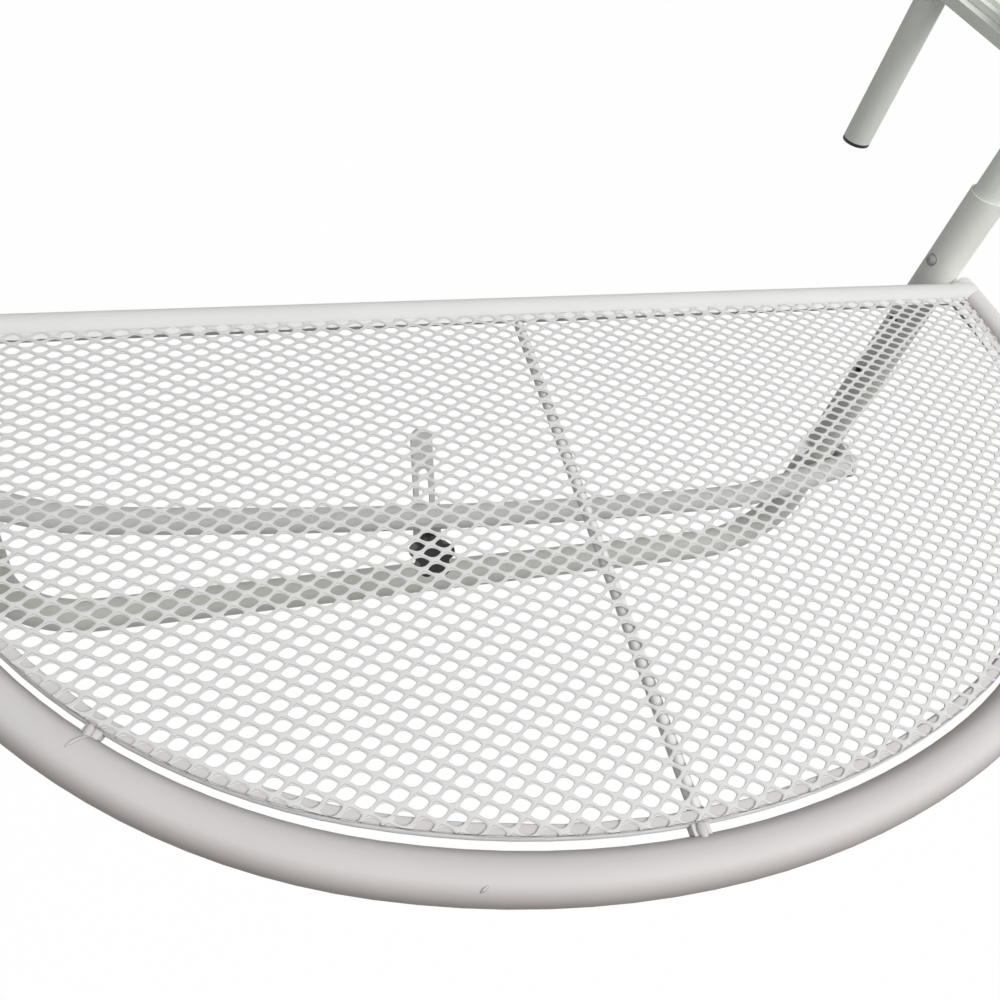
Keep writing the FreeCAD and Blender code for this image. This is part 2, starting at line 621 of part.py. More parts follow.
def strap_origin():
    """Where the clamping bolt crosses the strap, as three formulas."""
    along_bow = f"((Sizes.strap_x + Sizes.brace_drop * sin({BRACE_TILT})) / cos({BRACE_TILT}))"
    bow_z = f"({BRACE_MID_Z} - {along_bow} * sin({BRACE_TILT}) - Sizes.brace_drop * cos({BRACE_TILT}))"
    up, out = "sin(Sizes.strap_angle)", "cos(Sizes.strap_angle)"
    y = f"{BRACE_Y} + {STRAP_OFFSET} * {up} - Sizes.clamp_drop * {out}"
    z = f"{bow_z} - {STRAP_OFFSET} * {out} - Sizes.clamp_drop * {up}"
    return ("Sizes.strap_x", y, z)


def slope(obj):
    return turned(obj, strap_origin(), Vector(1, 0, 0), "Sizes.strap_angle")


def stadium(width, length, low, thickness, bottom):
    """Round-ended bar along local Y that starts at low."""
    radius = f"({width}) / 2"
    middle = box(width, f"{length} - {width}", thickness, (f"-{radius}", f"{low} + {radius}", bottom))
    ends = [cylinder(radius, thickness, (0, f"{low} + {radius}", bottom))]
    ends.append(cylinder(radius, thickness, (0, f"{low} + {length} - {radius}", bottom)))
    return fuse([middle] + ends)


def make_strap():
    half = "Sizes.strap_plate / 2"
    plate = "Sizes.strap_plate"
    bar = stadium("Sizes.strap_width", "Sizes.strap_length", "-Sizes.strap_tail", plate, f"-{half}")
    slot_low = "(-Sizes.strap_tail + (Sizes.strap_width - Sizes.strap_slot))"
    slot_run = "Sizes.strap_slot_length"
    slot = stadium("Sizes.strap_slot", slot_run, slot_low, f"3 * {plate}", f"-3 * {half}")
    part("spacer_strap", slope(cut(bar, slot)))

    tab_z = f"{half} + Sizes.slip"
    reach = "(Sizes.clamp_drop + Sizes.brace_od / 2)"
    start = "-Sizes.tab_width / 2"
    flat = box("Sizes.tab_width", reach, "Sizes.tab_plate", (start, 0, tab_z))
    nose = cylinder("Sizes.tab_width / 2", "Sizes.tab_plate", (0, 0, tab_z))
    eye_at = (0, 0, f"{tab_z} - Sizes.tab_plate")
    eye = cylinder("Sizes.clamp_d / 2 + Sizes.loose", "3 * Sizes.tab_plate", eye_at)
    tab = slope(cut(fuse([flat, nose]), eye))
    saddle = tilt(bow_solid("Sizes.brace_od / 2 + Sizes.weld_gap"))
    part("strap_tab", cut(tab, saddle))

    head_z = f"(-{half} - Sizes.slip)"
    head = cylinder("Sizes.clamp_head_d / 2", "Sizes.clamp_head", (0, 0, head_z), "-Z")
    stack = f"({tab_z} + Sizes.tab_plate + Sizes.weld_gap)"
    in_knob = "(Sizes.knob_height - Sizes.knob_crown - Sizes.thread_room)"
    shank_end = f"({stack} + Sizes.washer + {in_knob})"
    shank = cylinder("Sizes.clamp_d / 2", f"{shank_end} - {head_z}", (0, 0, head_z))
    part("strap_bolt", slope(fuse([head, shank])))
    ring = cylinder("Sizes.clamp_washer_od / 2", "Sizes.washer", (0, 0, stack))
    hole = cylinder("Sizes.clamp_d / 2 + Sizes.loose", "Sizes.washer", (0, 0, stack))
    part("strap_washer", slope(cut(ring, hole)))
    seat = f"{stack} + Sizes.washer + Sizes.slip"
    sizes = ("Sizes.knob_d", "Sizes.knob_height", "Sizes.knob_lobe", "Sizes.clamp_d", seat)
    slope(star_knob("strap_knob", *sizes))


def star_knob(label, diameter, height, lobe, thread, seat):
    """Lobed knob on local Z, bored from below for its bolt; seat is its underside."""
    knob = body(label)
    core = sketch(knob, "XY_Plane", seat)
    circle(core, f"{diameter} / 2 - Sizes.lobe_proud")
    pad(knob, core, height)
    grip = sketch(knob, "XY_Plane", seat)
    circle(grip, lobe, "0", f"{diameter} / 2 - {lobe}")
    one = pad(knob, grip, height)
    ring = knob.newObject("PartDesign::PolarPattern", "lobes")
    ring.Originals = [one]
    ring.Axis = (core, ["N_Axis"])
    ring.Angle = 360
    ring.setExpression("Occurrences", "Sizes.knob_lobes")
    knob.Tip = ring
    hollow = sketch(knob, "XY_Plane", seat)
    circle(hollow, f"{thread} / 2 + Sizes.running")
    bored(knob, hollow, f"{height} - Sizes.knob_crown")
    return knob


# Hooks

def make_hook(name, side):
    x = f"{side} * {LEG_X}"
    inward = "-X" if side == 1 else "X"
    foot = f"({MESH_Z} - Sizes.upright_tail)"
    rise = f"({ARM_Z} - Sizes.weld_gap - {foot})"
    outer = cylinder("Sizes.upright_od / 2", rise, (x, LEG_Y, foot))
    bore = cylinder("Sizes.upright_od / 2 - Sizes.upright_wall", rise, (x, LEG_Y, foot))
    window = cylinder("Sizes.button_d / 2 + Sizes.loose", "Sizes.upright_od", (x, LEG_Y, BUTTON_Z), inward)
    part(f"hook_upright_{name}", cut(outer, fuse([bore, window])))

    arm_front = f"({LEG_Y} - Sizes.upright_od / 2)"
    slot_low = f"({STUD_Y} - Sizes.arm_slot / 2)"
    slot_run = "(Sizes.widen + Sizes.arm_slot)"
    arm_run = f"({slot_low} + {slot_run} + Sizes.arm_past_slot - {arm_front})"
    arm_at = (f"{x} - Sizes.arm_width / 2", arm_front, ARM_Z)
    arm = box("Sizes.arm_width", arm_run, "Sizes.arm_height", arm_at)
    below = f"{ARM_Z} - Sizes.arm_height"
    slot = stadium("Sizes.arm_slot", slot_run, slot_low, "3 * Sizes.arm_height", below)
    bind(slot, **{"Placement.Base.x": x})
    part(f"hook_arm_{name}", cut(arm, slot))
    make_clip(name, side, x)
    make_slider(name, x)


def make_clip(name, side, x):
    """Folded spring strip inside the upright with the button riveted to it."""
    wall = f"({UPRIGHT_ID} / 2 - Sizes.clip_room)"
    gap = f"({wall} - Sizes.clip_strip)"
    bottom = f"({BUTTON_Z} - Sizes.clip_length / 2)"
    run = f"(Sizes.clip_length - {wall})"
    half_width = "Sizes.clip_width / 2"
    pieces = []
    for place_x in (f"{x} - {wall}", f"{x} + {gap}"):
        low = (place_x, f"{LEG_Y} - {half_width}", f"{bottom} + {wall}")
        pieces.append(box("Sizes.clip_strip", "Sizes.clip_width", run, low))
    turn = (x, f"{LEG_Y} - {half_width}", f"{bottom} + {wall}")
    outer = cylinder(wall, "Sizes.clip_width", turn, "Y")
    inner = cylinder(gap, "Sizes.clip_width", turn, "Y")
    cover_at = (f"{x} - {wall}", f"{LEG_Y} - {half_width}", f"{bottom} + {wall}")
    cover = box(f"2 * {wall}", "Sizes.clip_width", wall, cover_at)
    pieces.append(cut(outer, fuse([inner, cover])))
    tip = "(Sizes.leg_od / 2 + Sizes.button_proud)"
    direction = "-X" if side == 1 else "X"
    begin = (f"{x} - {side} * {gap}", LEG_Y, BUTTON_Z)
    bevel = "Sizes.button_bevel"
    stem = cylinder("Sizes.button_d / 2", f"{tip} - {gap} - {bevel}", begin, direction)
    cone = doc.addObject("Part::Cone", "cone")
    bind(cone, Radius1="Sizes.button_d / 2", Radius2=f"Sizes.button_d / 2 - {bevel}", Height=bevel)
    place(cone, (f"{x} - {side} * ({tip} - {bevel})", LEG_Y, BUTTON_Z), TURN[direction])
    part(f"snap_clip_{name}", fuse(pieces + [stem, cone]))


def make_slider(name, x):
    """Bar that lies on the handrail, its drop leg, and the stud and knob that clamp it."""
    bar_x = f"{x} - Sizes.slider_width / 2"
    run = f"({SLIDER_REAR_Y} - {SLIDER_FRONT_Y})"
    bar = box("Sizes.slider_width", run, "Sizes.slider_height", (bar_x, SLIDER_FRONT_Y, 0))
    step_y = f"({DROP_Y} - Sizes.drop_od / 2 - Sizes.weld_room)"
    step = box("Sizes.slider_width", f"{SLIDER_REAR_Y} - {step_y}", "Sizes.weld_step", (bar_x, step_y, 0))
    stud_low = "(Sizes.slider_height - Sizes.stud_depth)"
    eye = cylinder("Sizes.stud_d / 2 + Sizes.running", "Sizes.slider_height", (x, STUD_Y, stud_low))
    part(f"hook_slider_{name}", cut(bar, fuse([step, eye])))

    foot = "(-Sizes.weld_gap - Sizes.drop_length)"
    rise = f"Sizes.weld_step - Sizes.weld_gap - {foot}"
    tube = cylinder("Sizes.drop_od / 2", rise, (x, DROP_Y, foot))
    bore = cylinder("Sizes.drop_od / 2 - Sizes.drop_wall", rise, (x, DROP_Y, foot))
    part(f"drop_leg_{name}", cut(tube, bore))

    lip = cylinder("Sizes.drop_od / 2", "Sizes.cap_lip", (x, DROP_Y, f"{foot} - Sizes.weld_gap"), "-Z")
    plug_radius = "Sizes.drop_od / 2 - Sizes.drop_wall - Sizes.cap_grip"
    plug = cylinder(plug_radius, "Sizes.cap_plug + Sizes.weld_gap", (x, DROP_Y, f"{foot} - Sizes.weld_gap"))
    part(f"drop_cap_{name}", fuse([lip, plug]))

    arm_top = f"({ARM_Z} + Sizes.arm_height + Sizes.slip)"
    ring = cylinder("Sizes.hook_washer_od / 2", "Sizes.washer", (x, STUD_Y, arm_top))
    hole = cylinder("Sizes.stud_d / 2 + Sizes.loose", "Sizes.washer", (x, STUD_Y, arm_top))
    part(f"hook_washer_{name}", cut(ring, hole))
    in_knob = "(Sizes.hook_knob_height - Sizes.knob_crown - Sizes.thread_room)"
    stud_top = f"({arm_top} + Sizes.washer + {in_knob})"
    stud = cylinder("Sizes.stud_d / 2", f"{stud_top} - {stud_low}", (x, STUD_Y, stud_low))
    part(f"hook_stud_{name}", stud)
    seat = f"{arm_top} + Sizes.washer + Sizes.slip"
    sizes = ("Sizes.hook_knob_d", "Sizes.hook_knob_height", "Sizes.hook_knob_lobe", "Sizes.stud_d", seat)
    place(star_knob(f"hook_knob_{name}", *sizes), (x, STUD_Y, 0))


def export():
    """Check every object and write one file for each sub-part."""
    doc.recompute()
    for obj in doc.Objects:
        if "Invalid" in obj.State or "Error" in obj.State:
            raise RuntimeError(f"{obj.Label} failed: {obj.State}")
    os.makedirs("parts", exist_ok=True)
    for obj in parts:
        if obj.Shape.isNull() or not obj.Shape.isValid():
            raise RuntimeError(f"{obj.Label} has no valid shape")
        if obj.Shape.Volume <= 0 or not obj.Shape.Solids:
            raise RuntimeError(f"{obj.Label} is empty")
        obj.Shape.exportStep(f"parts/{obj.Label}.step")
        print(f"{obj.Label}: {len(obj.Shape.Solids)} solid(s), {obj.Shape.Volume:.0f} mm3")


make_top()
make_mesh()
make_u_frame()
make_brace()
make_brace_bolts()
make_strap()
for hook_name, hook_side in SIDES.items():
    make_hook(hook_name, hook_side)
export()
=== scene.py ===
import json
import math
import random

import bmesh
import bpy
from mathutils import Euler, Matrix, Vector


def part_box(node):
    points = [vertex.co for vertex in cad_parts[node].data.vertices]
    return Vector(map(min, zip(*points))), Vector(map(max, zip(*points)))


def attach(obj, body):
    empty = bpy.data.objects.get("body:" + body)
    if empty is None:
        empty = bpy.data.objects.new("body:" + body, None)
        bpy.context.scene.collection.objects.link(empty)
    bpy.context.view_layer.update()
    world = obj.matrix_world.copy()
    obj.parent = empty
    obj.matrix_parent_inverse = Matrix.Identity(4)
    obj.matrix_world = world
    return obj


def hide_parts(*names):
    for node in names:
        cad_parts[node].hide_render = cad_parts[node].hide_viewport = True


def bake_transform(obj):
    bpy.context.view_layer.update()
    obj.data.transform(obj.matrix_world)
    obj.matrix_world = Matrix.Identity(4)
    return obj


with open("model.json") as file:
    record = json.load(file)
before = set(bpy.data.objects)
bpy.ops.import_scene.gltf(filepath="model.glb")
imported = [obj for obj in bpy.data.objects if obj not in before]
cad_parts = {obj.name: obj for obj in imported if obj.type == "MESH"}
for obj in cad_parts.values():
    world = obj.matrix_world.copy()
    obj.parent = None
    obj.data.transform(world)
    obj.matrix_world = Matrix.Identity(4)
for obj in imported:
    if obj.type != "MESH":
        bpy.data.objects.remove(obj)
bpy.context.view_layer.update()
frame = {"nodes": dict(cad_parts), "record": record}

# Sizes of the part, in metres
TOP_HALF = 0.300
RIM_STRAIGHT = 0.0094
SIDE_BEND = 0.267
FRONT_BEND = 0.371
RIM_RADIUS = 0.0085
RING_GAP = 0.0035
RING_SPREAD = 0.0027
LEG_RADIUS = 0.011
MESH_ABOVE_RIM = 0.006
ROD_OFFSET = 0.0028
ROD_TURN = math.radians(1.7)
TAB_ANGLES = (math.radians(-41.5), math.radians(-1.0), math.radians(41.5))

# Expanded sheet: pitches, half an opening and its shape, and heights above the sheet's middle
LONG_PITCH = 0.0111324
SHORT_PITCH = 0.0075622
OPEN_HALF_LONG = 0.0036
OPEN_HALF_SHORT = 0.00238
TIP_SHARPNESS = 1.1
SIDE_ROUNDNESS = 1.95
CREST_HEIGHT = 0.0004
NEAR_EDGE_HEIGHT = 0.0003
FAR_EDGE_HEIGHT = -0.0001
SHEET_LOW = -0.0003
SHOULDER_SHARE = 0.55
MESH_TURN = math.radians(1.13)
MESH_SHIFT = Vector((0.00205, 0.00169))
SHEET_OVER_RING = 0.0004
TINY = 1e-6

# Expanded sheet: points round an opening and per direction, and spare columns and rows of the pattern
OPENING_SIDES = 16
CELL_POINTS = 7
SPARE_COLUMNS = 2
SPARE_ROWS = 4

# Expanded sheet: painted shade along the crease on the flat strand, its growth towards the far side,
# and on the underside
CREASE_LEVEL = 0.35
CREASE_GROWTH = 1.2
CREASE_BELOW = 0.3

# Beads: sides, span of their lumps, share of the radius at an end, its growth per point, and steps
BEAD_SIDES = 10
BEAD_LUMPS = (0.86, 1.12)
BEAD_END = 0.25
BEAD_GROWTH = 0.45
STEEP = 0.9
WELD_STEPS = 5

# Paint fills under the openings, partly real fillets of coat and partly light pieces that hide shade
# seen through the openings (painted light): steps and half angle along the ring, and size
EDGE_STEPS = 320
EDGE_SPAN = 90
FILL_HALF_WIDTH = 0.0024
FILL_FLATNESS = 0.18
FILL_DEPTH = 0.0006
BACK_FILL_OVERLAP = 0.0008
CORNER_STEPS = 60
CORNER_SPAN = 26
CORNER_FILL_INSIDE = 0.0052
CORNER_FILL_HALF_WIDTH = 0.0032

# Welds at the tabs, between the ring and the rim
TAB_WELD_RADIUS = 0.0024
TAB_WELD_ON_RIM = 0.0040
TAB_WELD_ON_RING = 0.0015
TAB_WELD_OVER_RING = 0.0002
TAB_WELD_OVER_RIM = 0.0046

# Ground welds at the corners of the top: sections, start in tube radii, and skin over both tubes
FAIRING_SECTIONS = 12
FAIRING_SIDES = 28
FAIRING_START = 2.2
FAIRING_EASE = 1.5
FAIRING_SKIN = 0.0001
CROWN_SKIN = 0.0002
FAIRING_INSIDE_END = 0.0003

# Welds between the corners of the top and the legs
LEG_WELD_RADIUS = 0.0024
LEG_WELD_INNER = 0.008
LEG_WELD_OUTER = 0.004
LEG_WELD_DEPTH = 0.0030
LEG_WELD_STEPS = 9

# Welds of the rod, the ring and the bow
ROD_WELD_HALF = 0.0035
ROD_WELD_LIFT = 0.0012
ROD_REAR_RADIUS = 0.0022
ROD_FRONT_RADIUS = 0.0026
SEAM_RADIUS = 0.0010
RING_SEAM_AHEAD = 0.0004
LUG_SEAM_OFF = 0.0004
LUG_SEAM_INSET = 0.0012

# Run and drop of paint on the rim: place and step along the rim, place and step round the tube
RUN_RADIUS = 0.00065
RUN_POINTS = 9
RUN_ALONG = (-41.3, -0.08)
RUN_ROUND = (150, -8)
DROP_RADIUS = 0.0007
DROP_POINTS = 5
DROP_ALONG = (-13.1, -0.1)
DROP_ROUND = (62, -4)

# Textures
NOISE_ROUGHNESS = 0.55
HOLLOW_SAMPLES = 6
EDGE_SAMPLES = 4

# White coat: tints, share of the tone where it is dull, and tones on ramps of (position, tone); the
# ramps of hollows, creases and undersides are painted shade
COAT_TINT = (1.0, 0.998, 0.985)
LEG_TINT = (0.99, 1.0, 0.94)
RIM_TINT = (1.0, 0.98, 0.975)
HOOK_TINT = (0.965, 1.0, 0.925)
SHADE_TINT = (1.0, 0.985, 0.98)
DULL_SHARE = 0.966
SPECKS = [(0.25, 0.95), (0.32, 1.0)]
HOLLOW_SHADE = [(0.2, (0.80, 0.79, 0.775)), (0.7, 1.0)]
HOLLOW_WEIGHT = 0.7
HOLLOW_REACH = 0.003
CREASE_SHADE = [(0.30, 1.0), (0.65, 0.86), (0.95, (0.66, 0.655, 0.645))]
# Painted shade on the rim: tones from faces that look down to faces that look up
UNDERSIDE_SHADE = [(0.10, (0.60, 0.57, 0.56)), (0.40, (0.37, 0.345, 0.335)), (0.53, (0.48, 0.45, 0.435)),
             (0.80, (0.79, 0.76, 0.75)), (0.95, 1.0)]
COAT_ROUGHNESS = [(0.3, 0.44), (0.7, 0.56)]
COAT_SPECULAR = 0.16
COAT_SOFTNESS = 0.0005

# Painted shade: depth under the sheet, and the share of the tone left on the legs and on the rim
LEG_SHADE_DEPTH = 0.12
LEG_SHADE_SHARE = 0.80
RIM_SHADE_SHARE = 0.88

# Zinc and black plastic
ZINC_TONE = 0.72
ZINC_TINT = (0.86, 0.87, 0.90)
ZINC_LINES = (1, 1, 9)
ZINC_ROUGHNESS = [(0.3, 0.22), (0.7, 0.42)]
ZINC_SOFTNESS = 0.0003
PLASTIC_COLORS = [(0.3, (0.006, 0.006, 0.007)), (0.7, (0.012, 0.012, 0.013))]
PLASTIC_ROUGHNESS = [(0.3, 0.42), (0.7, 0.58)]
PLASTIC_SOFTNESS = 0.0006

# Floor
FLOOR_Z = -1.0
FLOOR_SIZE = 12
FLOOR_GLOW = 0.985
FLOOR_TONE = (0.20, 0.20, 0.20, 1)
WHITE = (1, 1, 1, 1)

# Light: direction it comes from, sky level and its slope along that direction, and two lamps
LIGHT_FROM = (0.45, -0.15, 0.85)
SKY_LEVEL = 0.31
SKY_SLOPE = 0.30
LAMP_AIM = (0, -0.15, -0.15)
KEY_AT = (0.62, -0.92, 0.95)
KEY_SIZE = 0.9
KEY_WATTS = 11.5
FILL_AT = (-0.90, -0.80, 0.50)
FILL_SIZE = 1.2
FILL_WATTS = 2.5

# Camera
CAMERA_AT = (-0.1614, -0.42004, 0.18429)
CAMERA_TURN = (41.80, -9.546, -13.992)
LENS = 33.82
SENSOR = 36.0
SHIFT = (0.0347, -0.0597)
CLIP_START = 0.01

# Places measured on the CAD
nodes = frame["nodes"]
mesh_low, mesh_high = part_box("mesh_panel")
MESH_Z = (mesh_low.z + mesh_high.z) / 2
RIM_Z = MESH_Z - MESH_ABOVE_RIM
back_low, back_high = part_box("back_tube")
BACK_RADIUS = (back_high.z - back_low.z) / 2
BACK_Y = (back_low.y + back_high.y) / 2
BACK_Z = (back_low.z + back_high.z) / 2
TOP_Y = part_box("rim_end_discs")[1].y - RIM_RADIUS
RIM_X = TOP_HALF - RIM_RADIUS
leg_low, leg_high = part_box("hook_upright_right")
LEG_X = (leg_low.x + leg_high.x) / 2
LEG_Y = (leg_low.y + leg_high.y) / 2
ring_low, ring_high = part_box("mesh_ring")
RING_Z = (ring_low.z + ring_high.z) / 2
RING_RADIUS = (ring_high.z - ring_low.z) / 2

# Centres of the bends of the rim and the ring
BEND_Y = TOP_Y - RIM_STRAIGHT
BEND_STEP = FRONT_BEND - SIDE_BEND
SIDE_X = TOP_HALF - SIDE_BEND
FRONT_ANGLE = math.asin(SIDE_X / BEND_STEP)
FRONT_Y = BEND_Y + BEND_STEP * math.cos(FRONT_ANGLE)
RING_SIDE_X = SIDE_X + RING_SPREAD
RING_ANGLE = math.asin(RING_SIDE_X / BEND_STEP)
RING_FRONT_Y = BEND_Y + BEND_STEP * math.cos(RING_ANGLE)
RING_INSET = 2 * RIM_RADIUS + RING_GAP + RING_RADIUS
RING_HALF = RING_SIDE_X + SIDE_BEND - RING_INSET


# Plan of the rim

def bend_point(angle, side_x, meeting, front_y, inset):
    """Point and outward direction on a line of two side bends and a front bend that join at meeting."""
    side = 1 if angle >= 0 else -1
    outward = Vector((math.sin(angle), -math.cos(angle)))
    if abs(angle) > meeting:
        return Vector((side * side_x, BEND_Y)) + outward * (SIDE_BEND - inset), outward
    return Vector((0, front_y)) + outward * (FRONT_BEND - inset), outward


def rim_point(angle, inset):
    """Point and outward direction on a line parallel to the rim; angle 0 is the middle of the front."""
    return bend_point(angle, SIDE_X, FRONT_ANGLE, FRONT_Y, inset)


def ring_point(angle):
    """Point and outward direction on the axis of the ring; angle 0 is the middle of the front."""
    return bend_point(angle, RING_SIDE_X, RING_ANGLE, RING_FRONT_Y, RING_INSET)


def pull_inside(point, inset, back_y):
    """Nearest point inside the line parallel to the ring and in front of the back line."""
    x, y = point
    if y > BEND_Y:
        limit = RING_SIDE_X + SIDE_BEND - inset
        x = max(-limit, min(limit, x))
    else:
        centre, radius = Vector((0, RING_FRONT_Y)), FRONT_BEND - inset
        if math.atan2(abs(x), RING_FRONT_Y - y) > RING_ANGLE:
            centre, radius = Vector((math.copysign(RING_SIDE_X, x), BEND_Y)), SIDE_BEND - inset
        arm = Vector((x, y)) - centre
        if arm.length > radius:
            x, y = centre + arm * (radius / arm.length)
    return Vector((x, min(y, back_y)))


def front_of_back_tube():
    """Where the top of the sheet meets the back tube."""
    rise = MESH_Z + CREST_HEIGHT - BACK_Z
    return BACK_Y - math.sqrt(BACK_RADIUS ** 2 - rise ** 2)


# Materials

class Nodes:
    """Small helper that adds shader nodes to a tree and links them."""

    def __init__(self, tree):
        self.tree = tree

    def add(self, kind, **values):
        node = self.tree.nodes.new(kind)
        for key, value in values.items():
            setattr(node, key, value)
        return node

    def feed(self, socket, value):
        """Link another node's output to a socket, or set the socket's value."""
        if isinstance(value, bpy.types.NodeSocket):
            self.tree.links.new(value, socket)
        else:
            socket.default_value = value

    def compute(self, operation, *values):
        node = self.add("ShaderNodeMath", operation=operation)
        for socket, value in zip(node.inputs, values):
            self.feed(socket, value)
        return node.outputs["Value"]

    def mix(self, kind, factor, a, b):
        node = self.add("ShaderNodeMix", data_type="RGBA", blend_type=kind)
        self.feed(node.inputs["Factor"], factor)
        self.feed(node.inputs[6], a)
        self.feed(node.inputs[7], b)
        return node.outputs[2]


class Material(Nodes):
    """Principled material with the textures used here, all in object coordinates."""

    def __init__(self, name):
        self.material = bpy.data.materials.new(name)
        self.material.use_nodes = True
        super().__init__(self.material.node_tree)
        self.shader = self.tree.nodes["Principled BSDF"]
        self.place = self.add("ShaderNodeTexCoord").outputs["Object"]

    def noise(self, scale, detail, stretch=None):
        texture = self.add("ShaderNodeTexNoise")
        texture.inputs["Scale"].default_value = scale
        texture.inputs["Detail"].default_value = detail
        texture.inputs["Roughness"].default_value = NOISE_ROUGHNESS
        source = self.place
        if stretch:
            mapping = self.add("ShaderNodeMapping")
            mapping.inputs["Scale"].default_value = stretch
            self.feed(mapping.inputs["Vector"], self.place)
            source = mapping.outputs["Vector"]
        self.feed(texture.inputs["Vector"], source)
        return texture.outputs["Fac"]

    def ramp(self, source, stops):
        ramp = self.add("ShaderNodeValToRGB")
        elements = ramp.color_ramp.elements
        while len(elements) < len(stops):
            elements.new(0.5)
        for element, (position, value) in zip(elements, stops):
            element.position = position
            element.color = (*value, 1) if isinstance(value, tuple) else (value, value, value, 1)
        self.feed(ramp.inputs["Fac"], source)
        return ramp.outputs["Color"]

    def axis(self, source, name):
        """One axis of a vector."""
        parts = self.add("ShaderNodeSeparateXYZ")
        self.feed(parts.inputs["Vector"], source)
        return parts.outputs[name]

    def span(self, source, low, high):
        """Source from low to high as 0 to 1."""
        node = self.add("ShaderNodeMapRange")
        node.inputs["From Min"].default_value = low
        node.inputs["From Max"].default_value = high
        self.feed(node.inputs["Value"], source)
        return node.outputs["Result"]

    def hollows(self, reach):
        """1 on open faces, less in hollows and corners."""
        occlusion = self.add("ShaderNodeAmbientOcclusion", samples=HOLLOW_SAMPLES)
        occlusion.inputs["Distance"].default_value = reach
        return occlusion.outputs["AO"]

    def soft_edges(self, radius):
        """Normal that rounds the edges off."""
        bevel = self.add("ShaderNodeBevel", samples=EDGE_SAMPLES)
        bevel.inputs["Radius"].default_value = radius
        return bevel.outputs["Normal"]

    def bump(self, source, strength, distance, before):
        node = self.add("ShaderNodeBump")
        node.inputs["Strength"].default_value = strength
        node.inputs["Distance"].default_value = distance
        self.feed(node.inputs["Height"], source)
        self.feed(node.inputs["Normal"], before)
        return node.outputs["Normal"]

    def set(self, **values):
        names = {"color": "Base Color", "roughness": "Roughness", "normal": "Normal",
                 "metal": "Metallic", "specular": "Specular IOR Level"}
        for key, value in values.items():
            self.feed(self.shader.inputs[names[key]], value)
        return self.material


def white_coat(name, tone, tint=COAT_TINT, crease=False, shaded_along=None, underside=None):
    """White powder coat: faint clouding, orange peel, painted shade in the hollows, and soft edges.

    Painted shade along an axis is given by the axis, where along it the shade starts and ends, and the
    share of the tone left.
    underside gives the tones of faces that look down to faces that look up: painted shade, darker where
    the coat faces down.
    """
    m = Material(name)
    light = tuple(tone * c for c in tint)
    dull = tuple(tone * c * DULL_SHARE for c in tint)
    color = m.ramp(m.noise(scale=14, detail=4), [(0.35, dull), (0.65, light)])
    color = m.mix("MULTIPLY", 1.0, color, m.ramp(m.noise(scale=900, detail=2), SPECKS))
    # Painted shade: darker in hollows and corners, from ambient occlusion
    color = m.mix("MULTIPLY", HOLLOW_WEIGHT, color, m.ramp(m.hollows(HOLLOW_REACH), HOLLOW_SHADE))
    # Painted shade: faces that look down are darker
    if underside:
        normal = m.add("ShaderNodeNewGeometry").outputs["Normal"]
        upward = m.span(m.axis(normal, "Z"), -1.0, 1.0)
        color = m.mix("MULTIPLY", 1.0, color, m.ramp(upward, underside))
    # Painted shade: darker along an axis, below the sheet on the legs and towards the front on the rim
    if shaded_along:
        axis, lit_at, shaded_at, share = shaded_along
        depth = m.span(m.axis(m.place, axis), lit_at, shaded_at)
        shade_tone = tuple(share * c for c in SHADE_TINT)
        color = m.mix("MULTIPLY", 1.0, color, m.ramp(depth, [(0.1, 1.0), (0.8, shade_tone)]))
    # Painted shade: the sheet is darker along the shoulder of each strand, most on the far side of an
    # opening
    if crease:
        level = m.add("ShaderNodeAttribute", attribute_name="crease").outputs["Fac"]
        color = m.mix("MULTIPLY", 1.0, color, m.ramp(level, CREASE_SHADE))
    edges = m.soft_edges(COAT_SOFTNESS)
    peel = m.bump(m.noise(scale=420, detail=2), strength=0.10, distance=0.0004, before=edges)
    grain = m.bump(m.noise(scale=2600, detail=2), strength=0.08, distance=0.0001, before=peel)
    rough = m.ramp(m.noise(scale=60, detail=3), COAT_ROUGHNESS)
    return m.set(color=color, roughness=rough, normal=grain, specular=COAT_SPECULAR)


def zinc_plate(name):
    """Zinc-plated steel with drawn lines and a mottled surface."""
    m = Material(name)
    mottled = tuple(ZINC_TONE * c for c in ZINC_TINT)
    color = m.ramp(m.noise(scale=80, detail=4), [(0.3, mottled), (0.7, ZINC_TONE)])
    lines = m.noise(scale=700, detail=2, stretch=ZINC_LINES)
    rough = m.ramp(lines, ZINC_ROUGHNESS)
    drawn = m.bump(lines, strength=0.12, distance=0.0002, before=m.soft_edges(ZINC_SOFTNESS))
    return m.set(color=color, roughness=rough, metal=1.0, normal=drawn)


def black_plastic(name):
    """Moulded black plastic with a fine spark-eroded grain and faint handling shine."""
    m = Material(name)
    color = m.ramp(m.noise(scale=50, detail=3), PLASTIC_COLORS)
    rough = m.ramp(m.noise(scale=35, detail=3), PLASTIC_ROUGHNESS)
    edges = m.soft_edges(PLASTIC_SOFTNESS)
    grain = m.bump(m.noise(scale=1800, detail=2), strength=0.22, distance=0.0002, before=edges)
    return m.set(color=color, roughness=rough, normal=grain)


# Painted shade: the legs darken below the sheet and the rim darkens towards the front
LEG_SHADE = ("Z", MESH_Z, MESH_Z - LEG_SHADE_DEPTH, LEG_SHADE_SHARE)
RIM_SHADE = ("Y", TOP_Y, RING_FRONT_Y - FRONT_BEND, RIM_SHADE_SHARE)

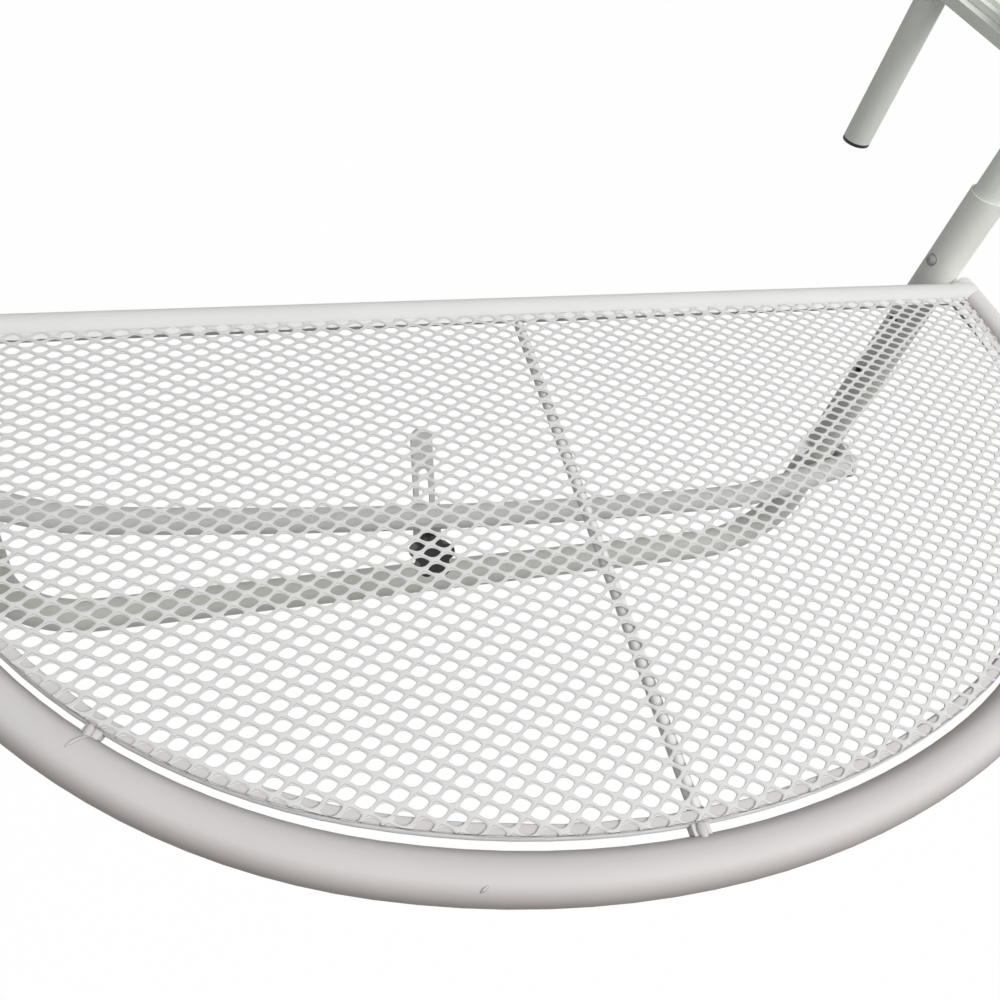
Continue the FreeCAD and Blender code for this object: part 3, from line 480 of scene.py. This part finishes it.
# The one white coat in several copies: the lighter and darker tones of the copies are painted light and
# shade
TUBES = white_coat("white_coat_tubes", tone=0.80)
LEGS = white_coat("white_coat_legs", tone=0.90, tint=LEG_TINT, shaded_along=LEG_SHADE)
RIM = white_coat("white_coat_rim", tone=0.78, tint=RIM_TINT, shaded_along=RIM_SHADE, underside=UNDERSIDE_SHADE)
RODS = white_coat("white_coat_rods", tone=0.90)
SHEET = white_coat("white_coat_sheet", tone=0.79, crease=True)
HOOKS = white_coat("white_coat_hooks", tone=0.93, tint=HOOK_TINT)
# Painted shade: the button and its clip take the white coat at about half the tone of the tubes
SHADED_BUTTON = white_coat("coated_button_painted_shade", tone=0.42)
ZINC = zinc_plate("zinc_plate")
BLACK = black_plastic("black_moulding")

# The button is coated in the photo, so its spring clip is as well
SLOT_MATERIALS = {"white_coat": TUBES, "zinc": ZINC, "spring_steel": SHADED_BUTTON, "black_plastic": BLACK}
NODE_MATERIALS = {"rim_tube": RIM, "u_frame": LEGS, "mesh_ring": RODS, "centre_rod": RODS,
                  "hook_upright": HOOKS, "hook_arm": HOOKS, "hook_slider": HOOKS, "drop_leg": HOOKS}


def dress_cad():
    """Give each CAD node the material of its slot, or the coat of its own kind of tube."""
    for entry in frame["record"]["subparts"]:
        node = entry["node"]
        material = SLOT_MATERIALS[entry["material_slot"]]
        for start, special in NODE_MATERIALS.items():
            if node.startswith(start):
                material = special
        obj = nodes[node]
        obj.data.materials.clear()
        obj.data.materials.append(material)


# Pieces made here

def new_piece(name, vertices, faces, material, body):
    mesh = bpy.data.meshes.new(name)
    mesh.from_pydata(vertices, [], faces)
    mesh.materials.append(material)
    mesh.polygons.foreach_set("use_smooth", [True] * len(mesh.polygons))
    obj = bpy.data.objects.new(name, mesh)
    bpy.context.scene.collection.objects.link(obj)
    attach(obj, body)
    return obj


def make_spring_clips():
    """Copies of the folded spring clips, baked in place, with the CAD clips hidden; in the real clip
    the back strip stays in the hook while the button is pressed in.
    """
    for name, side in (("right", 1), ("left", -1)):
        node = nodes[f"snap_clip_{name}"]
        clip = bpy.data.objects.new(f"spring_clip_{name}", node.data.copy())
        clip.matrix_world = node.matrix_world
        bpy.context.scene.collection.objects.link(clip)
        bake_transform(clip)
        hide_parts(f"snap_clip_{name}")


def opening_ring():
    """Points of an opening's outline, pointed at its left and right, with its cell's outline there."""
    ring = []
    for step in range(OPENING_SIDES):
        turn = 2 * math.pi * step / OPENING_SIDES
        c, s = math.cos(turn), math.sin(turn)
        across = math.copysign(abs(c) ** (2 / SIDE_ROUNDNESS), c) * OPEN_HALF_LONG
        along = math.copysign(abs(s) ** (2 / TIP_SHARPNESS), s) * OPEN_HALF_SHORT
        cell = Vector((c * LONG_PITCH / 2, s * SHORT_PITCH / 2)) / (abs(c) + abs(s))
        ring.append((Vector((across, along)), cell, s))
    return ring


def edge_height(s):
    """Height of the opening's edge: low on the far side, high on the near side."""
    blend = 0.5 + 0.5 * s
    return NEAR_EDGE_HEIGHT + (FAR_EDGE_HEIGHT - NEAR_EDGE_HEIGHT) * blend


def add_cell(vertices, faces, creases, centre, turn, ring, inset, back_y):
    """Top and bottom faces round one opening and its wall, which share no points, so each stays crisp.

    The shoulder is the line where the tilted far side of the opening meets the flat of the strand.
    """
    first = len(vertices)
    crest, low = MESH_Z + CREST_HEIGHT, MESH_Z + SHEET_LOW
    for opening, cell, s in ring:
        edge = pull_inside(centre + turn @ opening, inset, back_y)
        border = pull_inside(centre + turn @ cell, inset, back_y)
        shoulder = edge.lerp(border, SHOULDER_SHARE)
        top = MESH_Z + edge_height(s)
        vertices.append((edge.x, edge.y, top))
        vertices.append((shoulder.x, shoulder.y, crest))
        vertices.append((border.x, border.y, crest))
        vertices.append((edge.x, edge.y, top))
        vertices.append((edge.x, edge.y, low))
        vertices.append((edge.x, edge.y, low))
        vertices.append((border.x, border.y, low))
        # Painted shade along the shoulder, growing towards the far side, and a little at the border
        # below
        dark = min(1.0, max(0.0, CREASE_LEVEL + CREASE_GROWTH * s))
        creases.extend((0.0, dark, 0.0, 0.0, 0.0, 0.0, CREASE_BELOW))
    for step in range(OPENING_SIDES):
        a = first + CELL_POINTS * step
        b = first + CELL_POINTS * ((step + 1) % OPENING_SIDES)
        faces.append((a, a + 1, b + 1, b))
        faces.append((a + 1, a + 2, b + 2, b + 1))
        faces.append((a + 3, b + 3, b + 4, a + 4))
        faces.append((a + 5, b + 5, b + 6, a + 6))


def make_expanded_sheet():
    """Expanded sheet with its real pitch: each strand is a tilted strip between two openings."""
    ring = opening_ring()
    inset = RING_INSET - RING_RADIUS + SHEET_OVER_RING
    back_y = front_of_back_tube()
    turn = Matrix.Rotation(MESH_TURN, 2)
    columns = math.ceil(2 * TOP_HALF / LONG_PITCH) + SPARE_COLUMNS
    rows = math.ceil(2 * TOP_HALF / SHORT_PITCH) + SPARE_ROWS
    vertices, faces, creases = [], [], []
    for column in range(-columns, columns + 1):
        for row in range(-rows, rows + 1):
            if (column + row) % 2:
                continue
            centre = Vector((column * LONG_PITCH / 2, row * SHORT_PITCH / 2))
            centre = turn @ centre + MESH_SHIFT + Vector((0, TOP_Y))
            kept = pull_inside(centre, inset - LONG_PITCH / 2, back_y + SHORT_PITCH / 2)
            if (kept - centre).length <= TINY:
                add_cell(vertices, faces, creases, centre, turn, ring, inset, back_y)
    obj = new_piece("expanded_sheet", vertices, faces, SHEET, "frame")
    layer = obj.data.attributes.new("crease", "FLOAT", "POINT")
    layer.data.foreach_set("value", creases)
    bm = bmesh.new()
    bm.from_mesh(obj.data)
    bmesh.ops.dissolve_degenerate(bm, dist=TINY, edges=bm.edges)
    bm.to_mesh(obj.data)
    bm.free()
    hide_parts("mesh_panel")


def side_faces(rings, sides):
    """Faces between rings of points, as round a tube."""
    faces = []
    for index in range(rings - 1):
        for side in range(sides):
            a = index * sides + side
            b = index * sides + (side + 1) % sides
            faces.append((a, b, b + sides, a + sides))
    return faces


def weld_bead(name, path, radius, seed, material=TUBES, flatness=1.0):
    """Lumpy bead along a list of points, closed at both ends; flatness is its height over its width."""
    rng = random.Random(seed)
    vertices = []
    count = len(path)
    for index, point in enumerate(path):
        ahead = path[min(index + 1, count - 1)] - path[max(index - 1, 0)]
        upright = Vector((0, 0, 1)) if abs(ahead.normalized().z) < STEEP else Vector((1, 0, 0))
        across = ahead.cross(upright).normalized()
        up = ahead.normalized().cross(across) * flatness
        end = min(index, count - 1 - index)
        size = radius * min(1.0, BEAD_END + BEAD_GROWTH * end) * rng.uniform(*BEAD_LUMPS)
        for side in range(BEAD_SIDES):
            angle = 2 * math.pi * side / BEAD_SIDES
            vertices.append(point + (across * math.cos(angle) + up * math.sin(angle)) * size)
    faces = side_faces(count, BEAD_SIDES)
    faces.append(tuple(reversed(range(BEAD_SIDES))))
    faces.append(tuple(range((count - 1) * BEAD_SIDES, count * BEAD_SIDES)))
    bead = new_piece(name, vertices, faces, material, "frame")
    soft = bead.modifiers.new("soft", "SUBSURF")
    soft.levels = 1
    soft.render_levels = 1


def circle(centre, across, radius, steps):
    """Points of an upright circle round a centre, from the level direction across."""
    centre, across, up = Vector(centre), Vector(across), Vector((0, 0, 1))
    points = []
    for step in range(steps + 1):
        turn = math.radians(360 * step / steps)
        points.append(centre + (across * math.cos(turn) + up * math.sin(turn)) * radius)
    return points


def line(start, end, steps):
    """Points on a straight line."""
    return [Vector(start).lerp(Vector(end), step / steps) for step in range(steps + 1)]


def make_tab_welds():
    """Smooth weld over each bridge between the ring and the rim."""
    for index, angle in enumerate(TAB_ANGLES):
        inner, outward = ring_point(angle)
        outer, outward = rim_point(angle, 2 * RIM_RADIUS - TAB_WELD_ON_RIM)
        inner = inner - outward * TAB_WELD_ON_RING
        start = (*inner, RING_Z + TAB_WELD_OVER_RING)
        end = (*outer, RIM_Z + TAB_WELD_OVER_RIM)
        path = line(start, end, WELD_STEPS)
        weld_bead(f"tab_weld_{index}", path, TAB_WELD_RADIUS, seed=40 + index, material=RIM)


def corner_section(side, x, share):
    """Points round a corner weld at one x; share is 0 at the back tube and 1 at the rim's end."""
    ease = min(1.0, FAIRING_EASE * share)
    blend = ease * ease * (3 - 2 * ease)
    radius = BACK_RADIUS + (RIM_RADIUS - BACK_RADIUS) * blend + FAIRING_SKIN
    middle_y = BACK_Y + (TOP_Y - BACK_Y) * blend
    middle_z = BACK_Z + (RIM_Z - BACK_Z) * blend
    crown = math.sqrt(max(0.0, (RIM_RADIUS + CROWN_SKIN) ** 2 - max(0.0, x - RIM_X) ** 2))
    points = []
    for step in range(FAIRING_SIDES):
        turn = 2 * math.pi * step / FAIRING_SIDES
        y = middle_y + radius * math.cos(turn)
        z = middle_z + radius * math.sin(turn)
        if x > RIM_X:
            z = max(RIM_Z - crown, min(RIM_Z + crown, z))
        points.append((side * x, y, z))
    return points


def make_corner_welds():
    """Ground weld that leads the back tube into the end of the rim, and the bead on each leg."""
    start = RIM_X - FAIRING_START * BACK_RADIUS
    end = RIM_X + RIM_RADIUS - FAIRING_INSIDE_END
    bridge_y = (BACK_Y + BACK_RADIUS + LEG_Y - LEG_RADIUS) / 2
    bridge_z = BACK_Z - LEG_WELD_DEPTH
    for side in (1, -1):
        vertices = []
        for index in range(FAIRING_SECTIONS + 1):
            share = index / FAIRING_SECTIONS
            vertices.extend(corner_section(side, start + (end - start) * share, share))
        faces = side_faces(FAIRING_SECTIONS + 1, FAIRING_SIDES)
        faces.append(tuple(range(FAIRING_SECTIONS * FAIRING_SIDES, len(vertices))))
        if side == 1:
            faces = [tuple(reversed(face)) for face in faces]
        fairing = new_piece(f"corner_weld_{side + 1}", vertices, faces, TUBES, "frame")
        inner = (side * (LEG_X - LEG_WELD_INNER), bridge_y, bridge_z)
        outer = (side * (LEG_X + LEG_WELD_OUTER), bridge_y, bridge_z)
        path = line(inner, outer, LEG_WELD_STEPS)
        weld_bead(f"leg_weld_{side + 1}", path, LEG_WELD_RADIUS, seed=60 + side)


def fill_path(start, end, steps, inside):
    """Points just under the sheet, along the inner side of the ring between two angles in degrees."""
    path = []
    for step in range(steps + 1):
        point, outward = ring_point(math.radians(start + (end - start) * step / steps))
        point -= outward * inside
        path.append(Vector((*point, MESH_Z - FILL_DEPTH)))
    return path


def make_sheet_welds():
    """Thin paint fills under the openings where the sheet lies on the ring and meets the back tube:
    partly real fillets of coat, partly light pieces that stand in for lit surfaces where the openings
    would show shade (painted light).
    """
    path = fill_path(-EDGE_SPAN, EDGE_SPAN, EDGE_STEPS, FILL_HALF_WIDTH - RING_RADIUS)
    weld_bead("sheet_edge_fill", path, FILL_HALF_WIDTH, seed=30, material=RIM, flatness=FILL_FLATNESS)
    for side in (1, -1):
        # Painted light: the corner fills lie further inside the ring in the lighter rod coat, where the
        # openings would show the ring's shaded flank
        start, end = side * EDGE_SPAN, side * (EDGE_SPAN - CORNER_SPAN)
        path = fill_path(start, end, CORNER_STEPS, CORNER_FILL_INSIDE)
        name, seed = f"corner_fill_{side + 1}", 36 + side
        weld_bead(name, path, CORNER_FILL_HALF_WIDTH, seed, material=RODS, flatness=FILL_FLATNESS)
    back_y = front_of_back_tube() - FILL_HALF_WIDTH + BACK_FILL_OVERLAP
    fill_z = MESH_Z - FILL_DEPTH
    path = line((-RING_HALF, back_y, fill_z), (RING_HALF, back_y, fill_z), EDGE_STEPS)
    weld_bead("sheet_back_fill", path, FILL_HALF_WIDTH, seed=31, material=RODS, flatness=FILL_FLATNESS)


def rim_mark(name, radius, points, along, round_tube, seed):
    """Thin bead on the rim; along is measured along the rim, round_tube is 90 on top and 180 inside."""
    path = []
    for step in range(points):
        centre, outward = rim_point(math.radians(along[0] + along[1] * step), RIM_RADIUS)
        level = math.radians(round_tube[0] + round_tube[1] * step)
        flat = centre + outward * (RIM_RADIUS * math.cos(level))
        path.append(Vector((*flat, RIM_Z + RIM_RADIUS * math.sin(level))))
    weld_bead(name, path, radius, seed, material=RIM)


def make_rim_marks():
    """Run of weld beside the left tab and a drop of paint on the front of the rim."""
    rim_mark("rim_run", RUN_RADIUS, RUN_POINTS, RUN_ALONG, RUN_ROUND, seed=33)
    rim_mark("rim_drop", DROP_RADIUS, DROP_POINTS, DROP_ALONG, DROP_ROUND, seed=34)


def make_rod_welds():
    """Welds at both ends of the centre rod and at the rear ends of the ring."""
    front_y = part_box("centre_rod")[0].y
    front_x = ROD_OFFSET - math.tan(ROD_TURN) * (TOP_Y - front_y)
    front = Vector((front_x, front_y, RING_Z))
    rear = Vector((ROD_OFFSET, BACK_Y - BACK_RADIUS, RING_Z + ROD_WELD_LIFT))
    wide = Vector((ROD_WELD_HALF, 0, 0))
    weld_bead("rod_weld_rear", line(rear - wide, rear + wide, WELD_STEPS), ROD_REAR_RADIUS, seed=71)
    weld_bead("rod_weld_front", line(front - wide, front + wide, WELD_STEPS), ROD_FRONT_RADIUS, seed=72)
    for side in (1, -1):
        end = (side * RING_HALF, BACK_Y - BACK_RADIUS + RING_SEAM_AHEAD, RING_Z)
        seam = circle(end, (1, 0, 0), RING_RADIUS, steps=12)
        weld_bead(f"ring_weld_{side + 1}", seam, SEAM_RADIUS, seed=80 + side)


def make_brace_welds():
    """Bead round each end of the bow where its lug is welded on."""
    for name, side in (("right", 1), ("left", -1)):
        low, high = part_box(f"brace_lug_{name}")
        plate = low.x if side == 1 else high.x
        radius = (high.z - low.z) / 2
        centre = (plate - side * LUG_SEAM_OFF, low.y + radius, (low.z + high.z) / 2)
        path = circle(centre, (0, 1, 0), radius - LUG_SEAM_INSET, steps=24)
        weld_bead(f"brace_weld_{name}", path, SEAM_RADIUS, seed=90 + side)


# Stage, light and camera

def seen_directly(tree):
    """The light path node, and 1 for rays of the camera and of reflections, 0 for the rest."""
    path = tree.add("ShaderNodeLightPath")
    return path, tree.compute("MAXIMUM", path.outputs["Is Camera Ray"], path.outputs["Is Glossy Ray"])


def stage():
    """Plain floor that reads white where it is seen and pale grey to the light that bounces."""
    bpy.ops.mesh.primitive_plane_add(size=FLOOR_SIZE, location=(0, 0, FLOOR_Z))
    floor = bpy.context.object
    floor.name = "floor"
    m = Material("floor_paper")
    path, seen = seen_directly(m)
    color = m.mix("MIX", seen, FLOOR_TONE, WHITE)
    m.set(color=color, roughness=0.9, specular=0.0)
    blend = m.add("ShaderNodeMixShader")
    m.feed(blend.inputs["Fac"], m.compute("MULTIPLY", seen, FLOOR_GLOW))
    m.feed(blend.inputs[1], m.shader.outputs["BSDF"])
    m.feed(blend.inputs[2], m.add("ShaderNodeEmission").outputs["Emission"])
    m.feed(m.tree.nodes["Material Output"].inputs["Surface"], blend.outputs["Shader"])
    floor.data.materials.append(m.material)


def light_world():
    """Soft sky, brightest above the front right; the camera, glass and reflections see plain white."""
    world = bpy.data.worlds.new("studio")
    bpy.context.scene.world = world
    world.use_nodes = True
    w = Nodes(world.node_tree)
    facing = w.add("ShaderNodeVectorMath", operation="DOT_PRODUCT")
    facing.inputs[1].default_value = Vector(LIGHT_FROM).normalized()
    w.feed(facing.inputs[0], w.add("ShaderNodeTexCoord").outputs["Generated"])
    level = w.compute("MULTIPLY_ADD", facing.outputs["Value"], SKY_SLOPE, SKY_LEVEL)
    path, seen = seen_directly(w)
    clear = w.compute("MAXIMUM", seen, path.outputs["Is Transmission Ray"])
    sky = w.mix("MIX", clear, level, WHITE)
    w.feed(w.tree.nodes["Background"].inputs["Color"], sky)


def lamp(name, at, size, watts):
    data = bpy.data.lights.new(name, "AREA")
    data.size = size
    data.energy = watts
    obj = bpy.data.objects.new(name, data)
    obj.location = at
    obj.rotation_euler = (Vector(LAMP_AIM) - Vector(at)).to_track_quat("-Z", "Y").to_euler()
    bpy.context.scene.collection.objects.link(obj)


def camera():
    data = bpy.data.cameras.new("photo_camera")
    data.lens = LENS
    data.sensor_width = SENSOR
    data.shift_x, data.shift_y = SHIFT
    data.clip_start = CLIP_START
    obj = bpy.data.objects.new("photo_camera", data)
    obj.location = CAMERA_AT
    obj.rotation_euler = Euler([math.radians(v) for v in CAMERA_TURN])
    bpy.context.scene.collection.objects.link(obj)
    bpy.context.scene.camera = obj


dress_cad()
make_spring_clips()
make_expanded_sheet()
make_tab_welds()
make_corner_welds()
make_sheet_welds()
make_rim_marks()
make_rod_welds()
make_brace_welds()
stage()
light_world()
lamp("key", KEY_AT, KEY_SIZE, KEY_WATTS)
lamp("fill", FILL_AT, FILL_SIZE, FILL_WATTS)
camera()
bpy.context.scene.view_settings.view_transform = "Standard"
